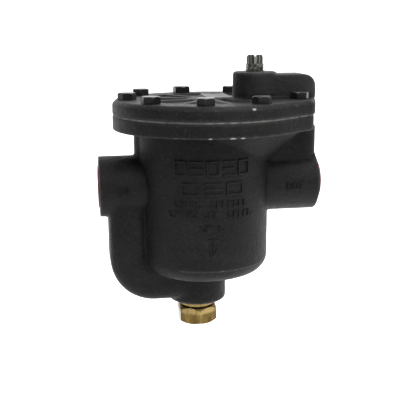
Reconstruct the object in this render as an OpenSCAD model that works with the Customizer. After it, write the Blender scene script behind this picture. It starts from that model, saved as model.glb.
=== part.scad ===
// Inverted bucket steam trap, cast iron, horizontal in-line ports.
// Frame: origin at the centre of the inlet port face, +X along the flow, +Z up, millimetres.

/* [View] */
// Piece to draw, or all of them

/* [Ports] */
// Distance between the two port faces
face_to_face = 260; // [220:1:300]
// Outer diameter of the round port bosses
port_boss_d = 72; // [60:0.5:90]
// Diameter of the threaded port wall
port_thread_d = 44; // [30:0.5:50]
// Length of the threaded port wall
port_thread_len = 22; // [14:0.5:30]
// Diameter of the bore behind the thread
port_bore_d = 36; // [20:0.5:42]

/* [Body] */
// Outer diameter of the body barrel
body_d = 156; // [130:1:180]
// Barrel axis, measured from the middle of the trap
body_shift = -6; // [-12:0.5:6]
// Diameter of the bucket chamber
chamber_d = 136; // [116:1:150]
// Height of the underside of the barrel
body_bottom_z = -105; // [-130:0.5:-80]
// Height of the chamber floor
chamber_floor_z = -94; // [-110:1:-70]
// Rounding of the lower edge of the barrel
body_round = 20; // [8:0.5:30]
// Width of the inlet leg along the flow
leg_w = 46; // [34:1:60]
// Depth of the inlet leg across the flow
leg_depth = 64; // [40:1:72]
// Diameter of the drilled passage in the inlet leg
leg_bore_d = 26; // [16:0.5:32]
// Middle radius of the bend under the inlet leg
bend_r = 30; // [24:1:40]
// Height of the centre of that bend
bend_z = -84; // [-100:1:-50]
// Diameter of the drain boss
drain_boss_d = 71; // [50:1:80]
// Height of the face of the drain boss
drain_face_z = -143.5; // [-160:0.5:-120]
// Drain axis, measured from the middle of the trap
drain_shift = -14; // [-20:0.5:10]

/* [Flange and cover] */
// Radius of the round part of the flange
flange_r = 112; // [95:0.5:130]
// Radius of the tip of the lobe over the outlet passage
lobe_r = 20; // [14:0.5:26]
// Centre of the lobe tip, measured from the middle of the trap
lobe_shift = 110; // [90:0.5:120]
// Radius of the two corners of the lobe
corner_r = 25; // [16:0.5:30]
// Corner centre along the flow, measured from the middle of the trap
corner_shift = 92.8; // [80:0.1:110]
// Corner centre across the flow
corner_y = 38.2; // [24:0.1:50]
// How far the cover reaches past the flange at the lobe
cover_over = 2; // [0:0.1:3]
// Height of the underside of the body flange
flange_low_z = 66.7; // [50:0.1:80]
// Height of the machined face of the body flange
flange_top_z = 83.2; // [70:0.1:95]
// Thickness of the cover gasket
gasket_t = 1.6; // [0.8:0.1:3]
// Height of the bolting face of the cover
cover_top_z = 101.5; // [90:0.5:115]
// Bevel around the upper edge of the cover
cover_bevel = 4.5; // [1:0.5:8]
// Boss axis on the cover, measured from the middle of the trap
boss_shift = 57; // [45:0.5:65]
// Radius of the boss on the cover
boss_r = 26; // [20:0.5:32]
// Height of the top of the boss
boss_top_z = 132; // [115:0.5:140]
// Half width of the arched outlet passage on the cover
arch_half_w = 20; // [14:0.5:26]
// Height of the top of the arched passage
arch_top_z = 129; // [112:0.5:140]

/* [Fasteners] */
// Number of cover screws on the screw circle
screw_count = 7; // [5:1:9]
// Angle between them
screw_pitch = 39.6; // [30:0.1:60]
// Radius of the screw circle
screw_circle_r = 94.5; // [85:0.5:104]
// The two lobe screws along the flow, measured from the middle of the trap
lobe_screw_shift = 102.5; // [90:0.5:110]
// The two lobe screws across the flow
lobe_screw_y = 33; // [26:0.5:40]
// Screw shank diameter
screw_d = 12.7; // [8:0.1:16]
// Screw head across flats
screw_flats = 19; // [13:0.1:24]
// Screw head height
screw_head_h = 7.9; // [5:0.1:12]

/* [Mechanism] */
// Outer diameter of the bucket
bucket_d = 108; // [90:1:120]
// Bucket wall thickness
bucket_wall = 1.5; // [1:0.1:3]
// Height of the open rim of the bucket when it hangs down
bucket_rim_z = -84; // [-88:1:-60]
// Height of the bucket lid when it hangs down
bucket_lid_z = 38; // [20:1:44]
// Distance from the lever pin to the bucket hook
lever_arm = 60; // [50:1:66]
// Distance from the lever pin to the valve
valve_arm = 12; // [8:0.5:16]
// Height of the lever pin
pivot_z = 64.5; // [58:0.5:70]
// Radius of the valve ball
valve_r = 5; // [3:0.5:7]

/* [Hidden] */
$fn = 96;
e = 0.5;
run_gap = 0.05;
x_mid = face_to_face / 2;
x_body = x_mid + body_shift;
x_drain = x_mid + drain_shift;
x_boss = x_mid + boss_shift;
x_lobe = x_mid + lobe_shift;
x_duct = x_lobe - 6;
x_bend = x_body - 61.5;
x_leg = x_bend - bend_r;
x_chamber = x_boss - 2;
x_pivot = x_body + lever_arm;
x_valve = x_pivot - valve_arm;
x_seat = x_valve + 0.8;
z_cover = flange_top_z + gasket_t;
z_web = z_cover + 11.2;
z_run = bend_z - bend_r;
z_seat = pivot_z + 9.5;
port_r = port_boss_d / 2;
body_r = body_d / 2;
chamber_r = chamber_d / 2;
bucket_r = bucket_d / 2;
duct_r = 13.5;
hex_k = 1 / cos(30);
corner_d = sqrt(corner_shift * corner_shift + corner_y * corner_y);
tip_d = sqrt(pow(lobe_shift - corner_shift, 2) + corner_y * corner_y);
side_a = atan2(corner_y, corner_shift) + acos((flange_r - corner_r) / corner_d);
tip_a = acos((corner_r - lobe_r) / tip_d) - atan2(corner_y, lobe_shift - corner_shift);
tube_r = 14;
drain_thread_r = 16.8;
test_thread_r = 10.7;
pad_w = 34;
pad_l = 62;
pad_z = cover_top_z + 1;
plate_t = 0.8;
x_plate = x_mid + 13;
y_plate = 12;
pocket_z = cover_top_z - 3;
pin_r = 2;
lever_t = 3;
lever_half_w = 4;

// ---------- shared shapes ----------

// A bar lying along X
module rod_x(x0, x1, r) {
    translate([x0, 0, 0])
        rotate([0, 90, 0])
            cylinder(h = x1 - x0, r = r);
}

// A bar lying along Y
module rod_y(y0, y1, r) {
    translate([0, y1, 0])
        rotate([90, 0, 0])
            cylinder(h = y1 - y0, r = r);
}

// Flat rectangle with round corners
module round_rect(w, d, r) {
    square([w - 2 * r, d], center = true);
    square([w, d - 2 * r], center = true);
    for (sx = [-1, 1], sy = [-1, 1])
        translate([sx * (w / 2 - r), sy * (d / 2 - r)])
            circle(r = r);
}

// Hexagon bar with both flats at +Y and -Y
module hex_bar(flats, h) {
    cylinder(h = h, r = flats / 2 * hex_k, $fn = 6);
}

// Plate with the outline shared by the flange and the gasket
module flange_plate(h, grow = 0) {
    lap = 0.05;
    r1 = flange_r + grow;
    r2 = corner_r + grow;
    r3 = lobe_r + grow;
    rim = [
        [(r1 - lap) * cos(side_a), (r1 - lap) * sin(side_a)],
        [corner_shift + (r2 - lap) * cos(side_a), corner_y + (r2 - lap) * sin(side_a)],
        [corner_shift + (r2 - lap) * cos(tip_a), corner_y + (r2 - lap) * sin(tip_a)],
        [lobe_shift + (r3 - lap) * cos(tip_a), (r3 - lap) * sin(tip_a)]];
    translate([x_mid, 0, 0]) {
        cylinder(h = h, r = r1, $fn = 180);
        translate([lobe_shift, 0, 0])
            cylinder(h = h, r = r3);
        for (s = [-1, 1])
            translate([corner_shift, s * corner_y, 0])
                cylinder(h = h, r = r2);
        linear_extrude(height = h)
            polygon([
                rim[0], rim[1], rim[2], rim[3],
                [rim[3][0], -rim[3][1]],
                [rim[2][0], -rim[2][1]],
                [rim[1][0], -rim[1][1]],
                [rim[0][0], -rim[0][1]]]);
    }
}

// Everything repeated at the cover screws
module at_screws() {
    for (i = [0:screw_count - 1])
        translate([x_mid, 0, 0])
            rotate([0, 0, 180 + (i - (screw_count - 1) / 2) * screw_pitch])
                translate([screw_circle_r, 0, 0])
                    children();
    for (s = [-1, 1])
        translate([x_mid + lobe_screw_shift, s * lobe_screw_y, 0])
            children();
}

// ---------- body ----------

// Barrel with a rounded lower edge
module barrel() {
    translate([x_body, 0, 0])
        rotate_extrude() {
            translate([0, body_bottom_z])
                square([body_r - body_round, flange_low_z - body_bottom_z + e]);
            translate([0, body_bottom_z + body_round])
                square([body_r, flange_low_z - body_bottom_z - body_round + e]);
            intersection() {
                translate([body_r - body_round, body_bottom_z + body_round])
                    circle(r = body_round);
                translate([0, body_bottom_z])
                    square([body_r, body_round + e]);
            }
        }
}

// Wall that widens to a cone below the flange, on the outlet side
module outlet_flare() {
    foot_r = 44;
    turn_r = 28;
    low = 12.4;
    turn = [for (t = [0, 15, 30, 45]) [foot_r + turn_r * (1 - cos(t)), turn_r * sin(t)]];
    up = flange_low_z + e - low - turn[3][1];
    intersection() {
        translate([x_mid + 27, 0, low])
            rotate_extrude()
                polygon(concat(
                    [[0, -4], [foot_r, -4]],
                    turn,
                    [[turn[3][0] + up, turn[3][1] + up], [0, turn[3][1] + up]]));
        flange_plate(flange_low_z + e, -1);
    }
}

// Leg that drops from the inlet boss and turns under the barrel
module inlet_leg() {
    corner = 14;
    translate([x_leg, 0, bend_z])
        linear_extrude(height = -bend_z)
            round_rect(leg_w, leg_depth, corner);
    translate([x_bend, 0, bend_z])
        rotate([90, 0, 0])
            rotate([0, 0, 180])
                rotate_extrude(angle = 90)
                    translate([bend_r, 0])
                        round_rect(leg_w, leg_depth, corner);
    translate([x_bend, 0, z_run])
        rotate([0, 90, 0])
            linear_extrude(height = x_drain - x_bend)
                round_rect(leg_w, leg_depth, corner);
}

// Web between the inlet boss and the flange
module inlet_web() {
    web_r = 23;
    linear_extrude(height = flange_low_z + e) {
        translate([x_mid - 65, 0])
            circle(r = web_r);
        translate([x_mid - 65, -web_r])
            square([40, 2 * web_r]);
    }
}

// Passage block between the outlet boss and the flange
module outlet_block() {
    half = 24.5;
    corner = 17;
    linear_extrude(height = flange_low_z + e) {
        translate([x_body, -half])
            square([face_to_face - corner - x_body, 2 * half]);
        translate([face_to_face - corner - e, corner - half])
            square([corner + e, 2 * (half - corner)]);
        for (s = [-1, 1])
            translate([face_to_face - corner, s * (half - corner)])
                circle(r = corner);
    }
}

// Boss that takes the drain plug
module drain_boss() {
    edge = 4;
    r = drain_boss_d / 2;
    translate([x_drain, 0, drain_face_z])
        rotate_extrude() {
            translate([0, edge])
                square([r, body_bottom_z - drain_face_z]);
            square([r - edge, edge + e]);
            intersection() {
                translate([r - edge, edge])
                    circle(r = edge);
                square([r, edge + e]);
            }
        }
}

// Passages drilled and cored inside the body
module body_passages() {
    floor_round = 8;
    translate([x_body, 0, chamber_floor_z])
        rotate_extrude() {
            translate([0, floor_round])
                square([chamber_r, flange_top_z - chamber_floor_z]);
            square([chamber_r - floor_round, floor_round + e]);
            intersection() {
                translate([chamber_r - floor_round, floor_round])
                    circle(r = floor_round);
                square([chamber_r, floor_round + e]);
            }
        }
    rod_x(-e, port_thread_len, port_thread_d / 2);
    rod_x(port_thread_len - e, x_leg + leg_bore_d / 2 + 3, port_bore_d / 2);
    translate([x_leg, 0, bend_z])
        cylinder(h = -bend_z, d = leg_bore_d);
    translate([x_bend, 0, bend_z])
        rotate([90, 0, 0])
            rotate([0, 0, 180])
                rotate_extrude(angle = 90)
                    translate([bend_r, 0])
                        circle(d = leg_bore_d);
    translate([0, 0, z_run])
        rod_x(x_bend, x_drain, leg_bore_d / 2);
    translate([x_drain, 0, z_run - 10])
        cylinder(h = 18, r = 20);
    translate([x_drain, 0, drain_face_z - e])
        cylinder(h = z_run - 10 - drain_face_z + 2 * e, r = drain_thread_r);
    translate([x_drain, 0, z_run])
        cylinder(h = chamber_floor_z - z_run + e, r = tube_r + run_gap);
    rod_x(face_to_face - port_thread_len, face_to_face + e, port_thread_d / 2);
    rod_x(x_duct - duct_r - 3, face_to_face - port_thread_len + e, port_bore_d / 2);
    translate([x_duct, 0, 0])
        cylinder(h = flange_top_z + e, r = duct_r);
    at_screws()
        translate([0, 0, flange_low_z + 2.1])
            cylinder(h = flange_top_z, d = screw_d + 0.2);
}

module body() {
    color("#2b2c2e")
        difference() {
            union() {
                barrel();
                translate([0, 0, flange_low_z])
                    flange_plate(flange_top_z - flange_low_z);
                outlet_flare();
                inlet_leg();
                inlet_web();
                outlet_block();
                drain_boss();
                rod_x(0, x_bend, port_r);
                rod_x(x_body + 40, face_to_face, port_r);
            }
            body_passages();
        }
}

// ---------- cover ----------

// Disc with a bevelled upper edge
module bevel_disc(r, sides) {
    h = cover_top_z - z_cover;
    cylinder(h = h - cover_bevel, r = r, $fn = sides);
    translate([0, 0, h - cover_bevel])
        cylinder(h = cover_bevel, r1 = r, r2 = r - cover_bevel, $fn = sides);
}

// Cover plate with the upper edge bevelled all round
module cover_plate() {
    hull() {
        translate([x_mid, 0, z_cover])
            bevel_disc(flange_r, 144);
        for (s = [-1, 1])
            translate([x_mid + corner_shift, s * corner_y, z_cover])
                bevel_disc(corner_r + cover_over * 0.7, 48);
        translate([x_lobe, 0, z_cover])
            bevel_disc(lobe_r + cover_over, 36);
    }
}

// Round boss over the valve seat, slightly tapered
module cover_boss() {
    edge = 3;
    h = boss_top_z - cover_top_z;
    translate([x_boss, 0, cover_top_z - e])
        rotate_extrude() {
            polygon([[0, 0], [boss_r + 0.6, 0], [boss_r, h + e - edge], [0, h + e - edge]]);
            translate([0, h + e - edge - 0.1])
                square([boss_r - edge, edge + 0.1]);
            intersection() {
                translate([boss_r - edge, h + e - edge])
                    circle(r = edge);
                translate([0, h + e - edge - 0.1])
                    square([boss_r, edge + 0.1]);
            }
        }
}

// Arched passage from the boss to the lobe
module cover_arch() {
    end_r = 21;
    x_end = face_to_face + cover_over - 0.4;
    intersection() {
        translate([0, arch_half_w, 0])
            rotate([90, 0, 0])
                linear_extrude(height = 2 * arch_half_w) {
                    translate([x_boss, cover_top_z - e])
                        square([x_end - end_r - x_boss, arch_top_z - cover_top_z + e]);
                    translate([x_boss, cover_top_z - e])
                        square([x_end - x_boss, arch_top_z - end_r - cover_top_z + e + 0.1]);
                    intersection() {
                        translate([x_end - end_r, arch_top_z - end_r])
                            circle(r = end_r);
                        translate([x_boss, cover_top_z - e])
                            square([x_end - x_boss, arch_top_z - cover_top_z + e]);
                    }
                }
        linear_extrude(height = arch_top_z + e) {
            translate([x_boss, -arch_half_w])
                square([x_lobe - x_boss, 2 * arch_half_w]);
            translate([x_end - arch_half_w, 0])
                circle(r = arch_half_w);
            translate([x_lobe - e, -arch_half_w])
                square([x_end - arch_half_w - x_lobe + e, 2 * arch_half_w]);
        }
    }
}

// Shallow pockets between the stiffening ribs
module cover_pockets() {
    rib_count = 9;
    hub_r = 24;
    rim_r = 79;
    rib_w = 8;
    difference() {
        translate([x_mid, 0, pocket_z])
            rotate_extrude()
                translate([hub_r, 0])
                    square([rim_r - hub_r, 4]);
        for (i = [0:rib_count - 1])
            translate([x_mid, 0, pocket_z - e])
                rotate([0, 0, i * 360 / rib_count])
                    translate([0, -rib_w / 2, 0])
                        cube([rim_r + 4, rib_w, 6]);
        translate([x_boss, 0, pocket_z - e])
            cylinder(h = 6, r = boss_r + 5);
        translate([x_boss, -arch_half_w - 4, pocket_z - e])
            cube([80, 2 * arch_half_w + 8, 6]);
        translate([x_plate - pad_w / 2, y_plate - pad_l / 2, pocket_z - e])
            cube([pad_w, pad_l, 6]);
    }
}

module cover_passages() {
    translate([x_chamber, 0, z_web])
        cylinder(h = 22, r = 20);
    translate([0, 0, z_web + 11]) {
        rod_x(x_chamber, x_duct, 11);
        translate([x_duct, 0, 0])
            sphere(r = duct_r);
    }
    translate([x_duct, 0, z_cover - e])
        cylinder(h = 11 + z_web - z_cover + e, r = duct_r);
    translate([x_boss, 0, z_web + 20])
        cylinder(h = boss_top_z, r = test_thread_r);
    translate([x_seat, 0, z_cover - e])
        cylinder(h = z_web - z_cover + 1, r = 5.6);
    for (s = [-1, 1])
        translate([x_pivot, s * 13, z_cover - e])
            cylinder(h = 8.2 + e, r = 2.1);
    at_screws()
        translate([0, 0, z_cover - e])
            cylinder(h = 40, d = screw_d + 0.6);
    for (sx = [-1, 1], sy = [-1, 1])
        translate([x_plate + sx * 12, y_plate + sy * 25, pad_z - 6])
            cylinder(h = 10, r = 1.25);
}

module cover() {
    color("#303133")
        difference() {
            union() {
                difference() {
                    cover_plate();
                    cover_pockets();
                }
                cover_boss();
                cover_arch();
                translate([x_plate - pad_w / 2, y_plate - pad_l / 2, pocket_z - e])
                    cube([pad_w, pad_l, pad_z - pocket_z + e]);
            }
            cover_passages();
        }
}

module cover_gasket() {
    color("#b9b4a6")
        difference() {
            translate([0, 0, flange_top_z])
                flange_plate(gasket_t, -1.2);
            translate([x_body, 0, flange_top_z - e])
                cylinder(h = gasket_t + 2 * e, r = chamber_r + 1);
            translate([x_duct, 0, flange_top_z - e])
                cylinder(h = gasket_t + 2 * e, r = duct_r + 0.6);
            at_screws()
                translate([0, 0, flange_top_z - e])
                    cylinder(h = gasket_t + 2 * e, d = screw_d + 0.6);
        }
}

module cover_screws() {
    tip_z = flange_low_z + 3.1;
    color("#26272a")
        at_screws()
            union() {
                translate([0, 0, tip_z])
                    cylinder(h = cover_top_z - tip_z + e, d = screw_d);
                translate([0, 0, cover_top_z])
                    intersection() {
                        hex_bar(screw_flats, screw_head_h);
                        cylinder(h = screw_head_h, r1 = screw_flats, r2 = screw_flats / 2 - 0.3);
                    }
            }
}

// ---------- plugs, plate, port rings ----------

module test_plug() {
    thread_h = 8.5;
    head_h = 10.5;
    head_w = 13.6;
    color("#8d8577")
        union() {
            translate([x_boss, 0, z_web + 18])
                cylinder(h = boss_top_z - z_web - 18 + e, r = test_thread_r - 0.1);
            difference() {
                translate([x_boss, 0, boss_top_z])
                    cylinder(h = thread_h, r = test_thread_r + 0.2);
                for (i = [0:3])
                    translate([x_boss, 0, boss_top_z + 1 + i * 1.8])
                        difference() {
                            cylinder(h = 0.9, r = test_thread_r + 2);
                            cylinder(h = 0.9, r = test_thread_r - 0.6);
                        }
            }
            translate([x_boss, 0, boss_top_z + thread_h - e])
                rotate([0, 0, 32])
                    intersection() {
                        translate([-head_w / 2, -head_w / 2, 0])
                            cube([head_w, head_w, head_h + e]);
                        cylinder(h = head_h + e, r1 = head_w, r2 = head_w * 0.6);
                    }
        }
}

module drain_plug() {
    collar_r = 20.4;
    collar_h = 7.2;
    groove_r = 19.6;
    hex_top_z = drain_face_z - collar_h - 1.2;
    hex_h = 21.2;
    flats = 44.4;
    thread_l = 18.5;
    color("#b58a3c")
        translate([x_drain, 0, 0]) {
            translate([0, 0, drain_face_z - e])
                cylinder(h = thread_l + e, r = drain_thread_r - 0.1);
            translate([0, 0, drain_face_z - collar_h])
                cylinder(h = collar_h, r = collar_r);
            translate([0, 0, hex_top_z - e])
                cylinder(h = collar_h + 1.2 + e, r = groove_r);
            translate([0, 0, hex_top_z - hex_h])
                intersection() {
                    rotate([0, 0, 30])
                        hex_bar(flats, hex_h);
                    cylinder(h = hex_h, r1 = 21.4, r2 = 21.4 + hex_h * 1.3);
                    cylinder(h = hex_h, r1 = 21.3 + hex_h * 1.1, r2 = 21.3);
                }
        }
}

module nameplate() {
    color("#b9bcc0")
        translate([x_plate, y_plate, pad_z])
            difference() {
                linear_extrude(height = plate_t)
                    round_rect(30, 56, 2);
                for (sx = [-1, 1], sy = [-1, 1])
                    translate([sx * 12, sy * 25, -e])
                        cylinder(h = 3, r = 1.25);
            }
}

module nameplate_screws() {
    color("#a8aaae")
        for (sx = [-1, 1], sy = [-1, 1])
            translate([x_plate + sx * 12, y_plate + sy * 25, pad_z + plate_t]) {
                translate([0, 0, -5])
                    cylinder(h = 5 + 0.2, r = 1.2);
                intersection() {
                    translate([0, 0, -1.6])
                        sphere(r = 2.7);
                    cylinder(h = 2, r = 2.2);
                }
            }
}

// Plastic ring that guards the mouth of a port
module port_ring(thick) {
    rotate([0, 90, 0])
        difference() {
            cylinder(h = thick, r = 25);
            translate([0, 0, -e])
                cylinder(h = thick + 2 * e, r = port_thread_d / 2 + 0.3);
        }
}

module inlet_thread_protector() {
    thick = 1.2;
    color("#a3203a")
        translate([-thick, 0, 0])
            port_ring(thick);
}

module outlet_thread_protector() {
    color("#a3203a")
        translate([face_to_face, 0, 0])
            port_ring(4.5);
}

// ---------- bucket and its fittings ----------

module inlet_tube() {
    top_z = -20;
    low_z = z_run + leg_bore_d / 2 + 0.2;
    color("#a9a498")
        translate([x_drain, 0, 0])
            difference() {
                union() {
                    translate([0, 0, low_z])
                        cylinder(h = top_z - low_z, r = tube_r);
                    translate([0, 0, chamber_floor_z])
                        cylinder(h = 3, r = tube_r + 4);
                }
                translate([0, 0, low_z - e])
                    cylinder(h = top_z - low_z + 2 * e, r = tube_r - 2);
            }
}

module bucket() {
    top_r = 6;
    h = bucket_lid_z - bucket_rim_z;
    color("#a9adb2")
        translate([x_body, 0, bucket_rim_z])
            difference() {
                rotate_extrude() {
                    difference() {
                        union() {
                            square([bucket_r, h - top_r]);
                            square([bucket_r - top_r, h]);
                            translate([bucket_r - top_r, h - top_r])
                                circle(r = top_r);
                        }
                        translate([-e, -e])
                            square([bucket_r - bucket_wall + e, h - top_r + e]);
                        translate([-e, -e])
                            square([bucket_r - top_r + e, h - bucket_wall + e]);
                        translate([bucket_r - top_r, h - top_r])
                            circle(r = top_r - bucket_wall);
                    }
                    translate([bucket_r - bucket_wall, 0])
                        square([bucket_wall + 2.5, 1.5]);
                }
                translate([-25, 0, h - 5])
                    cylinder(h = 8, r = 1.5);
                translate([10, 0, h - 5])
                    cylinder(h = 8, r = 2 + run_gap);
            }
}

module bucket_weight_ring() {
    color("#7b7f84")
        translate([x_body, 0, bucket_rim_z + 1.5])
            difference() {
                cylinder(h = 12.5, r = bucket_r + 3.5);
                translate([0, 0, -e])
                    cylinder(h = 14, r = bucket_r + run_gap);
            }
}

module bucket_hook() {
    top_z = pivot_z + 4.9;
    win_h = 4.8;
    color("#b4b7bb")
        difference() {
            union() {
                translate([x_body - 1, -9, bucket_lid_z])
                    cube([2, 18, top_z - bucket_lid_z]);
                translate([x_body - 1, -9, bucket_lid_z])
                    cube([18, 18, 2]);
            }
            translate([x_body - 5, -5, pivot_z - win_h / 2])
                cube([10, 10, win_h]);
            translate([x_body + 10, 0, bucket_lid_z - e])
                cylinder(h = 4, r = 2 + run_gap);
        }
}

module bucket_hook_rivet() {
    color("#8f9297")
        translate([x_body + 10, 0, bucket_lid_z]) {
            translate([0, 0, -bucket_wall - e])
                cylinder(h = bucket_wall + 2 + 2 * e, r = 2);
            translate([0, 0, 2])
                cylinder(h = 1.8, r1 = 3.8, r2 = 2.6);
            translate([0, 0, -bucket_wall - 1.6])
                cylinder(h = 1.6, r1 = 2.6, r2 = 3.6);
        }
}

// ---------- lever, valve and fulcrum ----------

module lever() {
    x_tip = x_body - 6;
    color("#c0c2c5")
        difference() {
            union() {
                translate([x_tip, -lever_half_w, pivot_z - lever_t / 2])
                    cube([x_pivot - x_tip, 2 * lever_half_w, lever_t]);
                translate([x_tip, -lever_half_w, pivot_z])
                    cube([2, 2 * lever_half_w, 4]);
                translate([x_pivot, 0, pivot_z])
                    rod_y(-lever_half_w - 0.6, lever_half_w + 0.6, 4);
            }
            translate([x_pivot, 0, pivot_z])
                rod_y(-10, 10, pin_r + run_gap);
            translate([x_valve, 0, pivot_z - 5])
                cylinder(h = 10, r = 2 + run_gap);
        }
}

module valve_head() {
    z_bar = pivot_z + lever_t / 2;
    color("#d5d6d8")
        translate([x_valve, 0, 0])
            union() {
                difference() {
                    translate([0, 0, pivot_z + 3])
                        sphere(r = valve_r);
                    translate([-10, -10, z_bar - 20])
                        cube([20, 20, 20]);
                }
                translate([0, 0, z_bar - 7.5])
                    cylinder(h = 7.5 + e, r = 2);
            }
}

module valve_retainer() {
    z_bar = pivot_z - lever_t / 2;
    color("#9da0a4")
        translate([x_valve, 0, z_bar - 3])
            difference() {
                hex_bar(7, 3);
                translate([0, 0, -e])
                    cylinder(h = 4, r = 2 + run_gap);
            }
}

module valve_seat() {
    hex_z = z_cover - 6;
    color("#cfd1d4")
        translate([x_seat, 0, 0])
            difference() {
                union() {
                    translate([0, 0, z_seat])
                        cylinder(h = hex_z - z_seat + e, r = 4);
                    translate([0, 0, hex_z])
                        rotate([0, 0, 30])
                            hex_bar(12, 5);
                    translate([0, 0, hex_z + 5 - e])
                        cylinder(h = z_web - hex_z - 4 + e, r = 5.5);
                }
                translate([0, 0, z_seat - e])
                    cylinder(h = 30, r = 2.4);
                translate([0, 0, z_seat])
                    cylinder(h = 0.6, r1 = 3, r2 = 2.4);
            }
}

module valve_seat_gasket() {
    color("#b4683a")
        translate([x_seat, 0, z_cover - 1])
            difference() {
                cylinder(h = 1, r = 6);
                translate([0, 0, -e])
                    cylinder(h = 2, r = 5.6);
            }
}

module fulcrum_bracket() {
    low_z = pivot_z - 5;
    h = z_cover - low_z;
    color("#b0b3b7")
        difference() {
            union() {
                translate([x_pivot + 4.3, -7, low_z])
                    cube([1.7, 14, h]);
                for (s = [-1, 1]) {
                    translate([x_pivot - 4.5, s * 6 - 1, low_z])
                        cube([10.5, 2, h]);
                    translate([x_pivot - 4.5, s * 12 - 6, z_cover - 2.2])
                        cube([8.5, 12, 2.2]);
                }
            }
            translate([x_pivot, 0, pivot_z])
                rod_y(-10, 10, pin_r + run_gap);
            for (s = [-1, 1])
                translate([x_pivot, s * 13, z_cover - 5])
                    cylinder(h = 10, r = 2.1);
        }
}

module bracket_screws() {
    color("#8f9297")
        for (s = [-1, 1])
            translate([x_pivot, s * 13, z_cover - 2.2])
                difference() {
                    union() {
                        cylinder(h = 9.6, r = 2);
                        translate([0, 0, -3])
                            cylinder(h = 3, r1 = 3.2, r2 = 3.6);
                    }
                    translate([-5, -0.5, -3.5])
                        cube([10, 1, 1.5]);
                }
}

module fulcrum_pin() {
    color("#8f9297")
        translate([x_pivot, 0, pivot_z]) {
            rod_y(-8, 9.2, pin_r);
            rod_y(-8.4, -7.05, 3.2);
        }
}

module pin_clip() {
    color("#55585c")
        translate([x_pivot, 0, pivot_z])
            difference() {
                rod_y(7.05, 8.05, 4);
                rod_y(6, 9, pin_r + run_gap);
                translate([-1, 5, -6])
                    cube([2, 5, 6]);
            }
}

body();
cover();
cover_gasket();
cover_screws();
test_plug();
drain_plug();
nameplate();
nameplate_screws();
inlet_thread_protector();
outlet_thread_protector();
inlet_tube();
bucket();
bucket_weight_ring();
bucket_hook();
bucket_hook_rivet();
lever();
valve_head();
valve_retainer();
valve_seat();
valve_seat_gasket();
fulcrum_bracket();
bracket_screws();
fulcrum_pin();
pin_clip();
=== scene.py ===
import math
import bpy
import numpy as np
from mathutils import Matrix, Vector, noise


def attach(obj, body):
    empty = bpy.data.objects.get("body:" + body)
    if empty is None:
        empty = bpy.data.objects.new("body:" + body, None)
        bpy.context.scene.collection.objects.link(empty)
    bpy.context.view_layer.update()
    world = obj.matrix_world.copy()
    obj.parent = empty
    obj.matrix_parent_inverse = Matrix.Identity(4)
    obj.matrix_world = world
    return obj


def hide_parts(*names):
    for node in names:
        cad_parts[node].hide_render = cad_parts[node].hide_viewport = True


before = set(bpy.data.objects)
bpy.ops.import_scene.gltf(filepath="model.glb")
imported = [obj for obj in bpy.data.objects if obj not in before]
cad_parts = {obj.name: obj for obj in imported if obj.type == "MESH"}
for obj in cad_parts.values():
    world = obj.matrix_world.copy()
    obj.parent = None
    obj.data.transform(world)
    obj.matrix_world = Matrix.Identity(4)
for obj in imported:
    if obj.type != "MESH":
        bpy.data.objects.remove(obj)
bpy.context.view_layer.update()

MM = 0.001
BODY = "trap_body"
# sizes the script shares with the CAD, in mm
FLANGE_X = 130
FLANGE_R = 112
FLANGE_TOP_Z = 83.2
BARREL_X = 124
BARREL_R = 78
BOSS_R = 36
BLOCK_HALF = 24.5
FACE_TO_FACE = 260
DRAIN_X = 116
PLUG_HEAD_Z = 140.5
BLACK, WHITE = (0, 0, 0), (1, 1, 1)
scene = bpy.context.scene
scene.view_settings.view_transform = "Standard"


# ---------------------------------------------------------------- camera
def make_camera():
    # distance (mm), focal length (pixels), angles (degrees) and centre (pixels), around the flange axis
    dist, focal, az, el, roll, u0, v0 = 900.0, 744.37, -10.04, 11.19, -0.19, 207.6, 182.37
    a, e = math.radians(az), math.radians(el)
    back = Vector((math.sin(a) * math.cos(e), -math.cos(a) * math.cos(e), math.sin(e)))
    fwd = -back
    right = fwd.cross(Vector((0, 0, 1))).normalized()
    up = right.cross(fwd)
    half_frame = 200
    pan, tilt = math.atan((half_frame - u0) / focal), math.atan((v0 - half_frame) / focal)
    fwd2 = fwd * math.cos(tilt) + up * math.sin(tilt)
    up2 = up * math.cos(tilt) - fwd * math.sin(tilt)
    fwd3 = fwd2 * math.cos(pan) + right * math.sin(pan)
    right3 = right * math.cos(pan) - fwd2 * math.sin(pan)
    r = math.radians(roll)
    right4 = right3 * math.cos(r) + up2 * math.sin(r)
    up4 = up2 * math.cos(r) - right3 * math.sin(r)
    data = bpy.data.cameras.new("camera")
    cam = bpy.data.objects.new("camera", data)
    scene.collection.objects.link(cam)
    data.sensor_width = 36
    data.lens = focal / (2 * half_frame) * data.sensor_width
    data.clip_start, data.clip_end = 0.05, 50
    m = Matrix((right4, up4, -fwd3)).transposed().to_4x4()
    m.translation = (Vector((FLANGE_X, 0, 0)) + back * dist) * MM
    cam.matrix_world = m
    scene.camera = cam


make_camera()


# ---------------------------------------------------------------- materials
def grey(value):
    return (value, value, value)


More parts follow.
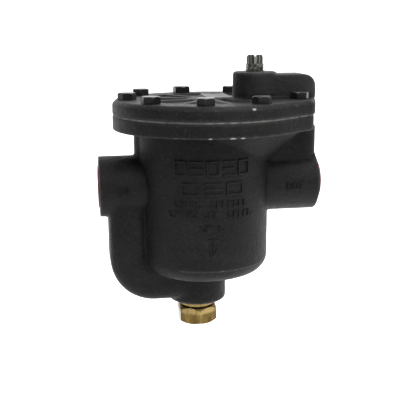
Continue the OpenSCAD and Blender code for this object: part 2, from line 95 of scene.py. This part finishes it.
class Mat:
    """A small helper for building node materials."""

    def __init__(self, name):
        self.m = bpy.data.materials.new(name)
        self.m.use_nodes = True
        self.t = self.m.node_tree
        self.b = self.t.nodes["Principled BSDF"]
        self.c = self.t.nodes.new("ShaderNodeTexCoord").outputs["Object"]

    def n(self, kind, **values):
        node = self.t.nodes.new(kind)
        for key, value in values.items():
            if key in node.inputs:
                node.inputs[key].default_value = value
            else:
                setattr(node, key, value)
        return node

    def link(self, a, b):
        self.t.links.new(a, b)

    def noise(self, scale, detail=3.0, rough=0.55, stretch=None):
        node = self.n("ShaderNodeTexNoise", Scale=scale, Detail=detail, Roughness=rough)
        src = self.c
        if stretch:
            mp = self.n("ShaderNodeMapping")
            mp.inputs["Scale"].default_value = stretch
            self.link(self.c, mp.inputs["Vector"])
            src = mp.outputs[0]
        self.link(src, node.inputs["Vector"])
        return node.outputs["Fac"]

    def ramp(self, fac, stops):
        node = self.n("ShaderNodeValToRGB")
        el = node.color_ramp.elements
        while len(el) < len(stops):
            el.new(0.5)
        for e, (pos, col) in zip(el, stops):
            e.position = pos
            e.color = (*col, 1) if len(col) == 3 else col
        self.link(fac, node.inputs["Fac"])
        return node.outputs["Color"]

    def mix(self, fac, a, b):
        node = self.n("ShaderNodeMix", data_type="RGBA")
        for value, sock in ((fac, node.inputs[0]), (a, node.inputs[6]), (b, node.inputs[7])):
            if hasattr(value, "is_linked"):
                self.link(value, sock)
            else:
                sock.default_value = value if isinstance(value, (int, float)) else (*value, 1)
        return node.outputs[2]

    def axes(self):
        node = self.n("ShaderNodeSeparateXYZ")
        self.link(self.c, node.inputs[0])
        return node.outputs

    def along(self, axis, start, length):
        """0 at start and 1 a length further on, both in mm."""
        return self.math("MULTIPLY", self.math("SUBTRACT", axis, start * MM), 1 / (length * MM))

    def near(self, axis, centre, reach):
        """1 within reach of centre, both in mm, and 0 outside."""
        off = self.math("ABSOLUTE", self.math("SUBTRACT", axis, centre * MM))
        return self.math("LESS_THAN", off, reach * MM)

    def math(self, op, a, b=0.0):
        node = self.n("ShaderNodeMath", operation=op)
        for value, sock in ((a, node.inputs[0]), (b, node.inputs[1])):
            if hasattr(value, "is_linked"):
                self.link(value, sock)
            else:
                sock.default_value = value
        return node.outputs[0]

    def attr(self, name):
        return self.n("ShaderNodeAttribute", attribute_name=name).outputs["Fac"]

    def bump(self, heights, strength=0.5):
        """heights is a list of (socket, distance in metres)."""
        last = None
        for h, d in heights:
            node = self.n("ShaderNodeBump", Strength=strength, Distance=d)
            self.link(h, node.inputs["Height"])
            if last:
                self.link(last, node.inputs["Normal"])
            last = node.outputs[0]
        self.link(last, self.b.inputs["Normal"])

    def out(self, **sockets):
        for key, value in sockets.items():
            sock = self.b.inputs[key.replace("_", " ")]
            if hasattr(value, "is_linked"):
                self.link(value, sock)
            else:
                sock.default_value = value if isinstance(value, (int, float)) else (*value, 1)
        return self.m


def cast_paint(name, dark, light, raised=0.0):
    """Rough black foundry paint. raised, if given, is the grey of a painted highlight on what stands above
    the cover's flat top.
    """
    k = Mat(name)
    grain = k.noise(820, 3, 0.65)
    lumps = k.noise(210, 4, 0.6)
    broad = k.noise(22, 3, 0.5)
    dust = k.noise(420, 2, 0.5)

    def blend(a, share_a, b, share_b):
        return k.math("ADD", k.math("MULTIPLY", a, share_a), k.math("MULTIPLY", b, share_b))

    col = k.ramp(blend(lumps, 0.5, broad, 0.5), [(0.36, dark), (0.66, light)])
    dusty = tuple(v * 2.2 for v in light)
    col = k.mix(k.ramp(dust, [(0.56, BLACK), (0.74, grey(0.6))]), col, dusty)
    if raised:
        # painted highlight on what stands above the cover's flat top
        up = k.along(k.axes()["Z"], 103.5, 6)
        top_highlight = k.mix(lumps, grey(raised * 0.6), grey(raised * 1.4))
        col = k.mix(k.ramp(up, [(0.0, BLACK), (1.0, WHITE)]), col, top_highlight)
    # edge wear and chips, and on the body also a painted highlight along a seam low on the barrel
    wear_and_highlight = k.attr("wear_and_highlight")
    worn_and_highlight = k.ramp(k.math("ADD", wear_and_highlight, blend(lumps, 0.45, dust, 0.35)), [(0.97, BLACK), (0.999, WHITE)])
    rub_and_highlight = k.ramp(blend(wear_and_highlight, 0.8, dust, 0.2), [(0.22, BLACK), (0.75, grey(0.7))])
    # painted shade: darker in the inner corners, along creases and in the band under the flange
    col = k.mix(k.math("MULTIPLY", k.attr("crease_shade"), 0.85), col, grey(0.0008))
    col = k.mix(rub_and_highlight, col, grey(0.07))
    col = k.mix(worn_and_highlight, col, (0.26, 0.255, 0.245))
    rough = k.ramp(blend(lumps, 0.6, grain, 0.4), [(0.3, grey(0.4)), (0.75, grey(0.66))])
    k.bump([(broad, 0.001), (lumps, 0.0011), (grain, 0.0005)], 0.85)
    k.b.inputs["Specular IOR Level"].default_value = 0.13
    return k.out(Base_Color=col, Roughness=rough, Metallic=0.0)


def metal(name, base, tint, rough, scale=260, stretch=None, bump=0.0002, metallic=1.0):
    k = Mat(name)
    fine = k.noise(scale * 3, 3, 0.6, stretch)
    big = k.noise(scale / 5, 4, 0.6)
    col = k.ramp(big, [(0.3, base), (0.72, tint)])
    r = k.ramp(fine, [(0.3, grey(rough[0])), (0.75, grey(rough[1]))])
    k.bump([(fine, bump)], 0.5)
    return k.out(Base_Color=col, Roughness=r, Metallic=metallic)


def turned_brass(name):
    # painted highlight on the collar and the shoulder below it; brown in the groove and on the flats, with
    # painted shade at the corners on either side
    k = Mat(name)
    fine = k.noise(720, 3, 0.6, (1, 1, 9))
    big = k.noise(95, 4, 0.6, (1, 1, 0.4))
    spots = k.noise(240, 4, 0.7, (1, 1, 0.2))
    axes = k.axes()
    # painted highlight level at each height along the plug
    heights = [(0.0, 0.3), (0.07, 0.0), (0.42, 0.08), (0.52, 1), (0.68, 0.9), (0.715, 0.0), (0.745, 0.0),
               (0.79, 0.7), (1.0, 0.3)]
    painted_highlight = k.ramp(k.along(axes["Z"], -173.5, 30), [(at, grey(level)) for at, level in heights])
    dull = k.ramp(big, [(0.33, (0.05, 0.029, 0.006)), (0.66, (0.17, 0.116, 0.037))])
    col = k.mix(painted_highlight, dull, (0.36, 0.262, 0.105))
    col = k.mix(k.ramp(spots, [(0.5, BLACK), (0.7, grey(0.55))]), col, (0.06, 0.04, 0.013))
    # painted shade towards both sides of the plug, where the hex corners turn away
    side = k.math("ABSOLUTE", k.along(axes["X"], DRAIN_X, 25))
    col = k.mix(k.ramp(side, [(0.76, BLACK), (0.95, grey(0.85))]), col, (0.022, 0.017, 0.008))
    k.bump([(fine, 0.0002)], 0.5)
    satin = k.ramp(fine, [(0.3, grey(0.16)), (0.75, grey(0.34))])
    rough = k.math("ADD", satin, k.math("MULTIPLY", painted_highlight, 0.3))
    return k.out(Base_Color=col, Roughness=rough, Metallic=1.0)


def plug_iron(name):
    # upright tool marks on the square head, blotchy sealant on the thread below it
    k = Mat(name)
    head = k.math("GREATER_THAN", k.axes()["Z"], PLUG_HEAD_Z * MM)
    streak = k.math("MULTIPLY", k.noise(430, 3, 0.6, (1, 1, 0.06)), head)
    blot = k.math("MULTIPLY", k.noise(380, 4, 0.7), k.math("SUBTRACT", 1.0, head))
    both = k.math("ADD", streak, blot)
    col = k.ramp(both, [(0.36, (0.016, 0.015, 0.013)), (0.5, (0.11, 0.106, 0.096)),
                        (0.62, (0.5, 0.49, 0.46))])
    rough = k.ramp(both, [(0.3, grey(0.46)), (0.7, grey(0.24))])
    k.bump([(both, 0.0008)], 0.6)
    return k.out(Base_Color=col, Roughness=rough, Metallic=0.9)


def plastic(name, base, tint):
    k = Mat(name)
    fine = k.noise(700, 2, 0.5)
    big = k.noise(60, 2, 0.5)
    k.bump([(fine, 0.0001)], 0.4)
    return k.out(Base_Color=k.ramp(big, [(0.3, base), (0.7, tint)]),
                 Roughness=k.ramp(fine, [(0.3, grey(0.35)), (0.7, grey(0.5))]))


def fibre(name):
    k = Mat(name)
    fine = k.noise(1500, 3, 0.7)
    big = k.noise(120, 3, 0.6)
    k.bump([(fine, 0.0002)], 0.5)
    return k.out(Base_Color=k.ramp(big, [(0.3, (0.04, 0.039, 0.036)), (0.7, (0.15, 0.148, 0.138))]),
                 Roughness=k.ramp(fine, [(0.3, grey(0.7)), (0.7, grey(0.9))]))


def printed_plate(name):
    # rows of broken lines inside a plain margin, in place of print
    k = Mat(name)
    fine = k.noise(900, 2, 0.5, (1, 12, 1))
    axes = k.axes()
    rows = k.along(axes["Y"], 0, 6.2)
    stripe = k.math("LESS_THAN", k.math("FRACT", rows), 0.34)
    dash = k.noise(1.0, 1.0, 0.5, (260, 20, 1))
    ink = k.math("MULTIPLY", stripe, k.math("GREATER_THAN", dash, 0.46))
    ink = k.math("MULTIPLY", ink, k.near(axes["X"], 143, 10.5))
    ink = k.math("MULTIPLY", ink, k.near(axes["Y"], 12, 21))
    sheet = k.ramp(fine, [(0.3, (0.1, 0.1, 0.099)), (0.7, (0.16, 0.16, 0.158))])
    col = k.mix(k.math("MULTIPLY", ink, 0.8), sheet, grey(0.06))
    rough = k.ramp(fine, [(0.3, grey(0.45)), (0.7, grey(0.6))])
    k.bump([(k.math("MULTIPLY", ink, -1.0), 0.0002), (fine, 0.00005)], 0.5)
    k.b.inputs["Specular IOR Level"].default_value = 0.08
    return k.out(Base_Color=col, Roughness=rough, Metallic=0.0)


M_BODY = cast_paint("cast_paint_body", grey(0.0024), grey(0.0085))
M_COVER = cast_paint("cast_paint_cover", grey(0.0026), (0.0092, 0.0092, 0.0091), 0.016)
M_SCREW = metal("black_oxide", (0.004, 0.004, 0.0045), (0.012, 0.012, 0.013), (0.26, 0.46), 300, None,
                0.0003, 0.35)
M_GREY = plug_iron("dull_iron")
M_BRASS = turned_brass("turned_brass")
M_PLATE = printed_plate("printed_plate")
M_BRIGHT = metal("bright_steel", grey(0.5), grey(0.68), (0.25, 0.4))
M_RED = plastic("crimson_plastic", (0.085, 0.002, 0.009), (0.15, 0.004, 0.018))
M_SHEET = metal("stainless_sheet", grey(0.5), (0.66, 0.66, 0.65), (0.24, 0.42), 200, (1, 1, 9))
M_IRON = metal("bare_iron", (0.16, 0.155, 0.15), (0.27, 0.26, 0.25), (0.45, 0.65), 200, None, 0.0004, 0.9)
M_DARK = metal("blued_steel", (0.06, 0.065, 0.08), (0.13, 0.13, 0.14), (0.25, 0.4))
M_COPPER = metal("soft_copper", (0.5, 0.2, 0.1), (0.66, 0.33, 0.2), (0.25, 0.42))
M_FIBRE = fibre("gasket_fibre")

NODE_MATERIAL = {
    "body": M_BODY, "cover": M_COVER, "cover_gasket": M_FIBRE, "cover_screws": M_SCREW, "test_plug": M_GREY,
    "drain_plug": M_BRASS, "nameplate": M_PLATE, "nameplate_screws": M_IRON,
    "inlet_thread_protector": M_RED, "outlet_thread_protector": M_RED, "inlet_tube": M_SHEET,
    "bucket": M_SHEET, "bucket_weight_ring": M_IRON, "bucket_hook": M_SHEET, "bucket_hook_rivet": M_BRIGHT,
    "lever": M_SHEET, "valve_head": M_BRIGHT, "valve_retainer": M_BRIGHT, "valve_seat": M_BRIGHT,
    "valve_seat_gasket": M_COPPER, "fulcrum_bracket": M_SHEET, "bracket_screws": M_BRIGHT,
    "fulcrum_pin": M_BRIGHT, "pin_clip": M_DARK}

NOT_BEVELLED = ("body", "cover", "cover_gasket")
LARGE_EDGES = ("cover_screws", "test_plug", "drain_plug")
for node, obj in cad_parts.items():
    obj.data.materials.clear()
    obj.data.materials.append(NODE_MATERIAL[node])
    if node not in NOT_BEVELLED:
        mod = obj.modifiers.new("soft_edges", "BEVEL")
        mod.width = (0.6 if node in LARGE_EDGES else 0.4) * MM
        mod.segments = 2
        mod.limit_method = "ANGLE"
        mod.angle_limit = math.radians(38)
        mod.harden_normals = False


# ---------------------------------------------------------------- mesh helpers
def new_object(name, verts, faces, material):
    me = bpy.data.meshes.new(name)
    me.from_pydata(verts, [], faces)
    me.update()
    me.materials.append(material)
    me.polygons.foreach_set("use_smooth", [True] * len(me.polygons))
    ob = bpy.data.objects.new(name, me)
    scene.collection.objects.link(ob)
    return ob


def apply_modifiers(ob):
    dg = bpy.context.evaluated_depsgraph_get()
    me = bpy.data.meshes.new_from_object(ob.evaluated_get(dg))
    ob.modifiers.clear()
    old = ob.data
    ob.data = me
    bpy.data.meshes.remove(old)


def cast_copy(node, name, voxel, fill, how_free, shade_lines=None):
    """A foundry version of a CAD solid: rounded edges, filled inner corners and a slightly uneven skin.

    how_free gives how much each vertex may move, and folds where there are extra lines of painted shade,
    grooved a little too.
    """
    lump, grain, groove = 0.12 * MM, 0.05 * MM, 0.6 * MM
    ob = bpy.data.objects.new(name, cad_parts[node].data.copy())
    scene.collection.objects.link(ob)
    mod = ob.modifiers.new("voxels", "REMESH")
    mod.mode = "VOXEL"
    mod.voxel_size = voxel
    mod.adaptivity = 0.0
    apply_modifiers(ob)
    me = ob.data
    n = len(me.vertices)
    v = np.empty(n * 3)
    me.vertices.foreach_get("co", v)
    v = v.reshape(n, 3)
    e = np.empty(len(me.edges) * 2, dtype=np.int64)
    me.edges.foreach_get("vertices", e)
    e = e.reshape(-1, 2)
    i, j = np.concatenate([e[:, 0], e[:, 1]]), np.concatenate([e[:, 1], e[:, 0]])
    deg = np.bincount(i, minlength=n).astype(float)

    def around(q):
        return np.bincount(i, weights=q[j], minlength=n) / deg

    def average(q):
        return np.stack([around(q[:, c]) for c in range(3)], 1)

    def normals():
        me.vertices.foreach_set("co", v.ravel())
        me.update()
        q = np.empty(n * 3)
        me.vertex_normals.foreach_get("vector", q)
        return q.reshape(n, 3)

    free = how_free(v)
    for _ in range(2):
        v = v + 0.5 * (average(v) - v) * free[:, None]
    nrm = normals()
    # painted shade, and a shallow groove, go in the inner corners, found before they are filled
    crease_shade = np.clip(((average(v) - v) * nrm).sum(1) / voxel * 11 - 0.3, 0, 1)
    if shade_lines:
        crease_shade = np.maximum(crease_shade, shade_lines(v))
    for _ in range(2):
        crease_shade = 0.3 * crease_shade + 0.7 * around(crease_shade)
    # only hollow corners move here, so they fill up and the outer edges stay
    for _ in range(fill):
        d = average(v) - v
        inward = (d * nrm).sum(1)
        v = v + 0.6 * d * ((inward > 0.0) * free)[:, None]
    for _ in range(2):
        v = v + 0.4 * (average(v) - v) * free[:, None]
    nrm = normals()
    # outer edges wear first
    bend = -((average(v) - v) * nrm).sum(1)
    for _ in range(2):
        bend = around(bend)
    wear_and_highlight = np.clip(bend / (0.06 * voxel), 0, 1)
    bumps = np.array([noise.noise(Vector(p) * 55.0) * lump + noise.noise(Vector(p) * 330.0) * grain
                      for p in v])
    v = v + nrm * ((bumps - 0.5 * (lump + grain) - groove * crease_shade) * free)[:, None]
    me.vertices.foreach_set("co", v.ravel())
    add_values(me, "crease_shade", crease_shade)
    return ob, v, wear_and_highlight


def add_values(me, name, values):
    at = me.attributes.new(name, "FLOAT", "POINT")
    at.data.foreach_set("value", values.astype(np.float32))


def finish_cast(ob, wear_and_highlight, material, ratio):
    add_values(ob.data, "wear_and_highlight", wear_and_highlight)
    ob.data.update()
    mod = ob.modifiers.new("fewer", "DECIMATE")
    mod.ratio = ratio
    apply_modifiers(ob)
    ob.data.materials.clear()
    ob.data.materials.append(material)
    ob.data.polygons.foreach_set("use_smooth", [True] * len(ob.data.polygons))
    ob.data.update()


# ---------------------------------------------------------------- castings
def soft(t, near, far, least):
    # the least value up to near, growing to 1 at far
    return least + (1 - least) * np.clip((t - near) / (far - near), 0, 1)


def bell(t, centre, width):
    return np.exp(-((t - centre) / width) ** 2)


def polar(x, y, x0):
    """Distance and angle, in degrees, around an upright axis at x0."""
    return np.hypot(x - x0, y), np.degrees(np.arctan2(y, x - x0))


def body_free(v):
    # the skin moves little on the joint face and the two port faces
    x, _, z = v.T / MM
    k = soft(FLANGE_TOP_Z - z, 0.4, 2.2, 0.2)
    k = np.minimum(k, soft(x, 0.3, 1.8, 0.1))
    return np.minimum(k, soft(FACE_TO_FACE - x, 0.3, 1.8, 0.1))


# where the body gets extra painted shade and a shallow groove
def body_shade_lines(v):
    x, y, z = v.T / MM
    from_barrel, _ = polar(x, y, BARREL_X)
    # painted shade on the lines where the sides of the outlet block meet its boss
    line = 3.2 * bell(z, 27.0, 1.1) * (np.abs(np.abs(y) - 24) < 4) * soft(x, 194, 202, 0) * (x < 254)
    # painted shadow in the band under the flange
    band = 0.8 * np.exp(-np.abs(z - 65.5) / 3.0) * (from_barrel < BARREL_R + 2) * (z < 66.5)
    # painted shade in the corners where the port bosses leave the barrel
    boss = np.sqrt(np.clip(BOSS_R ** 2 - z ** 2, 0, None))
    half = np.where((x > BARREL_X) & (z > 0), np.maximum(boss, BLOCK_HALF), boss)
    here = np.where(x < BARREL_X, (z < BOSS_R) & (z > -22), (z < 30) & (z > -BOSS_R))
    corner = 2.4 * here * bell(from_barrel, BARREL_R, 1.5) * bell(np.abs(y), half, 1.5)
    return np.maximum(np.maximum(line, band), corner)


body, v, wear_and_highlight = cast_copy("body", "body_casting", 1.4 * MM, 4, body_free, body_shade_lines)
x, y, z = v.T / MM
from_axis, ang = polar(x, y, FLANGE_X)
# chips on the lower edge of the flange: angle, width and strength of each
chips = np.zeros(len(v))
for centre, width, power in ((-117.5, 3.0, 0.6), (-113, 1.6, 0.55), (-98.5, 1.8, 0.72), (-92, 2.0, 0.5),
                             (-86, 3.4, 0.78), (-80.5, 2.0, 0.9), (-72, 3.5, 0.55), (-61, 2.5, 0.55),
                             (34, 3, 0.7), (120, 3, 0.6)):
    chips = np.maximum(chips, power * bell(ang, centre, width))
wear_and_highlight = np.maximum(wear_and_highlight * 0.3, chips * bell(z, 67.6, 1.7) * (from_axis > FLANGE_R - 5))
# a dotted painted highlight along a seam low on the barrel
from_barrel, turn = polar(x, y, BARREL_X)
seam_highlight = bell(z, -88.5, 1.2) * (from_barrel > BARREL_R - 10) * (np.abs(turn + 78) < 42)
wear_and_highlight = np.maximum(wear_and_highlight, seam_highlight * (0.5 + 0.12 * np.sin(turn * 1.9) * np.sin(turn * 0.73)))
finish_cast(body, wear_and_highlight, M_BODY, 0.36)
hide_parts("body")
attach(body, BODY)


def cover_free(v):
    # the skin moves little on the joint face
    return soft(v[:, 2], 85.2 * MM, 87 * MM, 0.2)


cover, v, wear_and_highlight = cast_copy("cover", "cover_casting", 1.3 * MM, 5, cover_free)
x, y, z = v.T / MM
from_axis, ang = polar(x, y, FLANGE_X)
edge = bell(z, 97.3, 1.6) * (from_axis > FLANGE_R - 4)
wear_and_highlight = wear_and_highlight * 0.3
for centre, width, power in ((-73.5, 1.6, 1.0), (-40, 1.5, 0.6), (-95, 2, 0.35), (100, 2, 0.7)):
    wear_and_highlight = np.maximum(wear_and_highlight, power * edge * bell(ang, centre, width))
finish_cast(cover, wear_and_highlight, M_COVER, 0.5)
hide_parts("cover")
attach(cover, BODY)


# ---------------------------------------------------------------- raised cast marks
class Strokes:
    """Raised bars laid on a round wall. u runs around or along it, v across, both in mm."""

    def __init__(self, place):
        self.place, self.v, self.f = place, [], []

    def bar(self, u0, v0, u1, v1, width, height):
        length = math.hypot(u1 - u0, v1 - v0)
        tu, tv = (u1 - u0) / length, (v1 - v0) / length
        steps = max(2, int(length / 1.5))
        h = width / 2
        section = [(-h, -0.8), (-h * 0.86, height * 0.6), (-h * 0.5, height), (h * 0.5, height),
                   (h * 0.86, height * 0.6), (h, -0.8)]
        rows = []
        # how far along, how wide and how tall each section is, with rounded ends
        stations = [(-h * 0.9, 0.55, 0.0), (-h * 0.75, 0.8, 0.75)]
        stations += [(length * s / steps, 1.0, 1.0) for s in range(steps + 1)]
        stations += [(length + h * 0.75, 0.8, 0.75), (length + h * 0.9, 0.55, 0.0)]
        for along, wide, tall in stations:
            row = []
            for across, up in section:
                a = across * wide
                w = up * tall if up > 0 else up
                u = u0 + tu * along - tv * a
                v = v0 + tv * along + tu * a
                row.append(len(self.v))
                self.v.append(self.place(u, v, w))
            rows.append(row)
        k = len(section)
        for r0, r1 in zip(rows, rows[1:]):
            for q in range(k):
                self.f.append((r0[q], r0[(q + 1) % k], r1[(q + 1) % k], r1[q]))
        self.f.append(tuple(reversed(rows[0])))
        self.f.append(tuple(rows[-1]))

    def loop(self, pts, width, height):
        for p, q in zip(pts, pts[1:]):
            self.bar(*p, *q, width, height)


def on_barrel(u, v, w):
    a = u / BARREL_R + math.radians(-91)
    r = BARREL_R - 0.3 + w
    return ((BARREL_X + r * math.cos(a)) * MM, r * math.sin(a) * MM, v * MM)


def on_boss(x):
    def place(u, v, w):
        a = v / BOSS_R - math.radians(2)
        r = BOSS_R - 0.25 + w
        return ((x + u) * MM, -r * math.cos(a) * MM, r * math.sin(a) * MM)
    return place


def frame_row(s, z, count, pitch, wide, tall, width, height):
    # a row of plain hollow tablets, alternating with plain bars
    for i in range(count):
        u = (i - (count - 1) / 2) * pitch
        a, b = wide / 2, tall / 2
        if i % 2 == 0:
            s.loop([(u - a, z - b), (u + a, z - b), (u + a, z + b), (u - a, z + b), (u - a, z - b)],
                   width, height)
        else:
            s.bar(u - a, z + b, u + a, z + b, width, height)
            s.bar(u - a, z, u + a, z, width, height)
            s.bar(u - a, z - b, u + a, z - b, width, height)


def tick_row(s, z, groups, pitch, tall, width, height):
    # groups of short upright bars, some with a foot or a head
    total = sum(groups) + (len(groups) - 1) * 1.4
    u = -total * pitch / 2
    for g in groups:
        for q in range(g):
            s.bar(u, z - tall / 2, u, z + tall / 2, width, height)
            if q % 3 != 2:
                side = z + (q % 2 - 0.5) * tall * 0.8
                s.bar(u, side, u + pitch * 0.62, side, width, height)
            u += pitch
        u += 1.4 * pitch


marks = Strokes(on_barrel)
frame_row(marks, 30.5, 5, 18.4, 12.6, 15.5, 2.8, 1.9)
frame_row(marks, 7.0, 3, 25.5, 19.0, 12.5, 2.8, 1.9)
tick_row(marks, -10.5, (5, 7), 6.6, 6.4, 2.2, 1.5)
tick_row(marks, -22.5, (9, 5), 6.6, 6.4, 2.2, 1.5)
tick_row(marks, -38, (2, 1), 6.4, 6.0, 2.2, 1.5)
marks.bar(0, -51, 0, -67, 2.3, 1.2)
marks.loop([(-4.6, -62), (0, -69), (4.6, -62)], 2.0, 1.2)
marks.bar(-5, -50.5, 5, -50.5, 2.0, 1.2)
barrel_marks = new_object("barrel_marks", marks.v, marks.f, M_BODY)

letters = Strokes(on_boss(26))
letters.bar(-5.2, -3.8, -5.2, 3.8, 1.9, 1.4)
letters.loop([(-1.4, -3.8), (-1.4, 3.8), (4.6, -3.8), (4.6, 3.8)], 1.8, 1.4)
inlet_mark = new_object("inlet_mark", letters.v, letters.f, M_BODY)

letters = Strokes(on_boss(229))
letters.loop([(-9.2, -3.6), (-9.2, 3.6), (-4.2, 3.6), (-4.2, -3.6), (-9.2, -3.6)], 1.7, 1.4)
letters.loop([(-1.8, 3.8), (-1.8, -3.6), (3.0, -3.6), (3.0, 3.8)], 1.7, 1.4)
letters.bar(4.8, 3.6, 10.4, 3.6, 1.7, 1.4)
letters.bar(7.6, 3.6, 7.6, -4.0, 1.7, 1.4)
outlet_mark = new_object("outlet_mark", letters.v, letters.f, M_BODY)
for ob in (barrel_marks, inlet_mark, outlet_mark):
    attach(ob, BODY)


# ---------------------------------------------------------------- pipe threads in the ports
def port_thread(name, x0, direction):
    # a threaded sleeve that starts at the port face x0 and runs inward along direction
    pitch, r_out, depth, length = 2.2, 22.15, 1.15, 21.0
    around, per = 64, 6
    rows = int(length / pitch * per)

    def ring_x(i):
        return x0 + direction * (0.6 + i * pitch / per)

    verts, faces = [], []
    for i in range(rows + 1):
        for j in range(around):
            a = 2 * math.pi * j / around
            t = (i / per + j / around) % 1.0
            ridge = 1 - abs(2 * t - 1)
            x = ring_x(i)
            r = r_out - 0.3 - depth * min(1.0, max(0.0, ridge * 1.25 - 0.1))
            verts.append((x * MM, r * math.cos(a) * MM, r * math.sin(a) * MM))
    for i in range(rows):
        for j in range(around):
            k = (j + 1) % around
            q = (i * around + j, i * around + k, (i + 1) * around + k, (i + 1) * around + j)
            faces.append(q if direction < 0 else q[::-1])
    base = len(verts)
    for i in (0, rows):
        for j in range(around):
            a = 2 * math.pi * j / around
            x = ring_x(i)
            verts.append((x * MM, (r_out + 0.6) * math.cos(a) * MM, (r_out + 0.6) * math.sin(a) * MM))
    for j in range(around):
        k = (j + 1) % around
        a = (base + j, base + k, k, j)
        b = (base + around + k, base + around + j, rows * around + j, rows * around + k)
        c = (base + k, base + j, base + around + j, base + around + k)
        for q in (a, b, c):
            faces.append(q if direction < 0 else q[::-1])
    ob = new_object(name, verts, faces, M_IRON)
    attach(ob, BODY)
    return ob


port_thread("inlet_port_thread", 0.0, 1)
port_thread("outlet_port_thread", FACE_TO_FACE, -1)


# ---------------------------------------------------------------- floor, backdrop and light
def backdrop():
    # a pale sheet that lies on the floor and bends up behind the trap, in metres
    front, back, floor, top, half_width, bend, steps = -1.6, 1.5, -0.32, 3.5, 4.0, 0.9, 12
    prof = [(front, floor), (back, floor)]
    for i in range(1, steps + 1):
        a = math.pi / 2 * i / steps
        prof.append((back + bend * math.sin(a), floor + bend * (1 - math.cos(a))))
    prof.append((back + bend, top))
    verts, faces = [], []
    for y, z in prof:
        for x in (-half_width, half_width):
            verts.append((x, y, z))
    for i in range(len(prof) - 1):
        faces.append((2 * i, 2 * i + 1, 2 * i + 3, 2 * i + 2))
    k = Mat("pale_paper")
    k.bump([(k.noise(60, 2, 0.5), 0.0002)], 0.2)
    pale = k.ramp(k.noise(3, 2, 0.5), [(0.3, grey(0.93)), (0.7, grey(0.95))])
    k.b.inputs["Emission Strength"].default_value = 0.62
    k.out(Base_Color=pale, Emission_Color=pale, Roughness=0.9)
    ob = new_object("backdrop", verts, faces, k.m)


backdrop()

world = bpy.data.worlds.new("studio")
scene.world = world
world.use_nodes = True
world.node_tree.nodes["Background"].inputs["Color"].default_value = (1, 1, 1, 1)
world.node_tree.nodes["Background"].inputs["Strength"].default_value = 0.2


def area(name, at, aim, size, power):
    data = bpy.data.lights.new(name, "AREA")
    data.shape = "RECTANGLE"
    data.size, data.size_y = size
    data.energy = power
    ob = bpy.data.objects.new(name, data)
    scene.collection.objects.link(ob)
    ob.location = at
    ob.rotation_mode = "QUATERNION"
    ob.rotation_quaternion = (Vector(aim) - Vector(at)).to_track_quat("-Z", "Y")


area("key_right", (1.1, -0.8, 0.9), (0.13, 0, 0.0), (0.6, 0.6), 13)
area("top_soft", (0.45, 0.1, 1.3), (0.13, 0, 0.05), (0.9, 0.9), 13)
area("front_fill", (0.0, -1.2, 1.25), (0.13, 0, 0.05), (0.9, 0.6), 19)
area("back_wall", (0.13, 1.1, 1.6), (0.13, 1.9, 0.3), (2.5, 1.0), 26)
